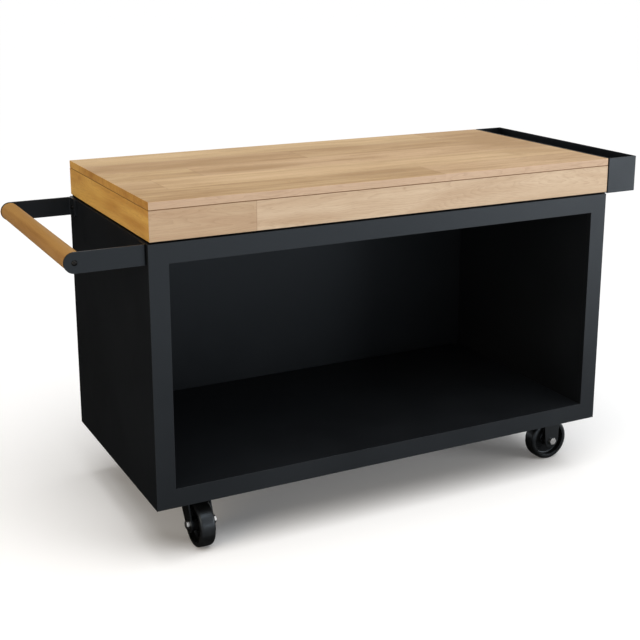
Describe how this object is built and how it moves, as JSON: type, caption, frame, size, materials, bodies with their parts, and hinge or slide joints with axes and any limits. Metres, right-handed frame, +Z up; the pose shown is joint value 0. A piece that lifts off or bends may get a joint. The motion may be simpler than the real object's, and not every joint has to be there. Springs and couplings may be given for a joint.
{
  "type": "prep table",
  "caption": "Outdoor prep table: open black steel cabinet on casters under a thick wooden worktop, with a wooden push bar at one side and a planter trough at the other.",
  "frame": {"origin": "on the floor, under the middle of the table's whole box with its handle and planter", "axes": "+X along the table from the push handle to the planter, +Y from the open front to the back, +Z up"},
  "size_m": [1.645, 0.655, 0.925],
  "materials": {
    "powder_coated_steel": "fine-textured matt black powder coat",
    "teak": "oiled edge-glued teak",
    "zinc_plated_steel": "bright zinc plate",
    "black_fastener": "black oxide",
    "black_rubber_strip": "matt black rubber",
    "caster_steel": "satin black paint on pressed steel",
    "wheel_plastic": "moulded black nylon",
    "tyre_rubber": "black rubber, lightly scuffed tread"
  },
  "bodies": {
    "cabinet": {"front_frame": "powder_coated_steel", "left_side_panel": "powder_coated_steel", "right_side_panel": "powder_coated_steel", "left_liner": "powder_coated_steel", "right_liner": "powder_coated_steel", "back_panel": "powder_coated_steel", "back_panel_screws": "black_fastener", "base_pan": "powder_coated_steel", "floor_panel": "powder_coated_steel", "top_deck": "powder_coated_steel", "corner_posts": "powder_coated_steel", "chassis_channels": "powder_coated_steel", "worktop_spacers": "black_rubber_strip", "worktop_board": "teak", "front_apron": "teak", "rear_apron": "teak", "left_apron": "teak", "right_apron": "teak", "worktop_battens": "teak", "worktop_screws": "zinc_plated_steel", "handle_bar": "teak", "front_handle_bracket": "powder_coated_steel", "rear_handle_bracket": "powder_coated_steel", "handle_bar_screws": "black_fastener", "handle_bracket_bolts": "black_fastener", "handle_bracket_nuts": "zinc_plated_steel", "planter_trough": "powder_coated_steel", "planter_end_plates": "powder_coated_steel", "planter_spacers": "black_rubber_strip", "planter_screws": "black_fastener", "caster_mount_bolts": "zinc_plated_steel", "caster_mount_nuts": "zinc_plated_steel", "caster_king_pins": "zinc_plated_steel", "caster_swivel_balls": "zinc_plated_steel", "front_left_caster_plate": "caster_steel", "front_right_caster_plate": "caster_steel", "front_right_fork": "caster_steel", "front_right_axle_bolt": "zinc_plated_steel", "front_right_axle_sleeve": "zinc_plated_steel", "rear_left_caster_plate": "caster_steel", "rear_right_caster_plate": "caster_steel", "rear_right_fork": "caster_steel", "rear_right_axle_bolt": "zinc_plated_steel", "rear_right_axle_sleeve": "zinc_plated_steel"},
    "front_left_swivel": {"front_left_fork": "caster_steel", "front_left_axle_bolt": "zinc_plated_steel", "front_left_axle_sleeve": "zinc_plated_steel"},
    "front_left_wheel": {"front_left_wheel_core": "wheel_plastic", "front_left_tyre": "tyre_rubber"},
    "front_right_wheel": {"front_right_wheel_core": "wheel_plastic", "front_right_tyre": "tyre_rubber"},
    "rear_left_swivel": {"rear_left_fork": "caster_steel", "rear_left_axle_bolt": "zinc_plated_steel", "rear_left_axle_sleeve": "zinc_plated_steel"},
    "rear_left_wheel": {"rear_left_wheel_core": "wheel_plastic", "rear_left_tyre": "tyre_rubber"},
    "rear_right_wheel": {"rear_right_wheel_core": "wheel_plastic", "rear_right_tyre": "tyre_rubber"}
  },
  "joints": [
    {"name": "front_left_caster_turn", "type": "hinge", "parent": "cabinet", "child": "front_left_swivel", "pos_m": [-0.4885, -0.2085, 0.155], "axis": [0, 0, 1], "continuous": true},
    {"name": "front_left_wheel_roll", "type": "hinge", "parent": "front_left_swivel", "child": "front_left_wheel", "pos_m": [-0.4885, -0.2515, 0.0625], "axis": [1, 0, 0], "continuous": true},
    {"name": "front_right_wheel_roll", "type": "hinge", "parent": "cabinet", "child": "front_right_wheel", "pos_m": [0.6445, -0.2085, 0.0625], "axis": [0, 1, 0], "continuous": true},
    {"name": "rear_left_caster_turn", "type": "hinge", "parent": "cabinet", "child": "rear_left_swivel", "pos_m": [-0.4885, 0.2085, 0.155], "axis": [0, 0, 1], "continuous": true},
    {"name": "rear_left_wheel_roll", "type": "hinge", "parent": "rear_left_swivel", "child": "rear_left_wheel", "pos_m": [-0.47737, 0.16697, 0.0625], "axis": [0.9659, 0.2588, 0], "continuous": true},
    {"name": "rear_right_wheel_roll", "type": "hinge", "parent": "cabinet", "child": "rear_right_wheel", "pos_m": [0.6445, 0.2085, 0.0625], "axis": [0, 1, 0], "continuous": true}
  ]
}
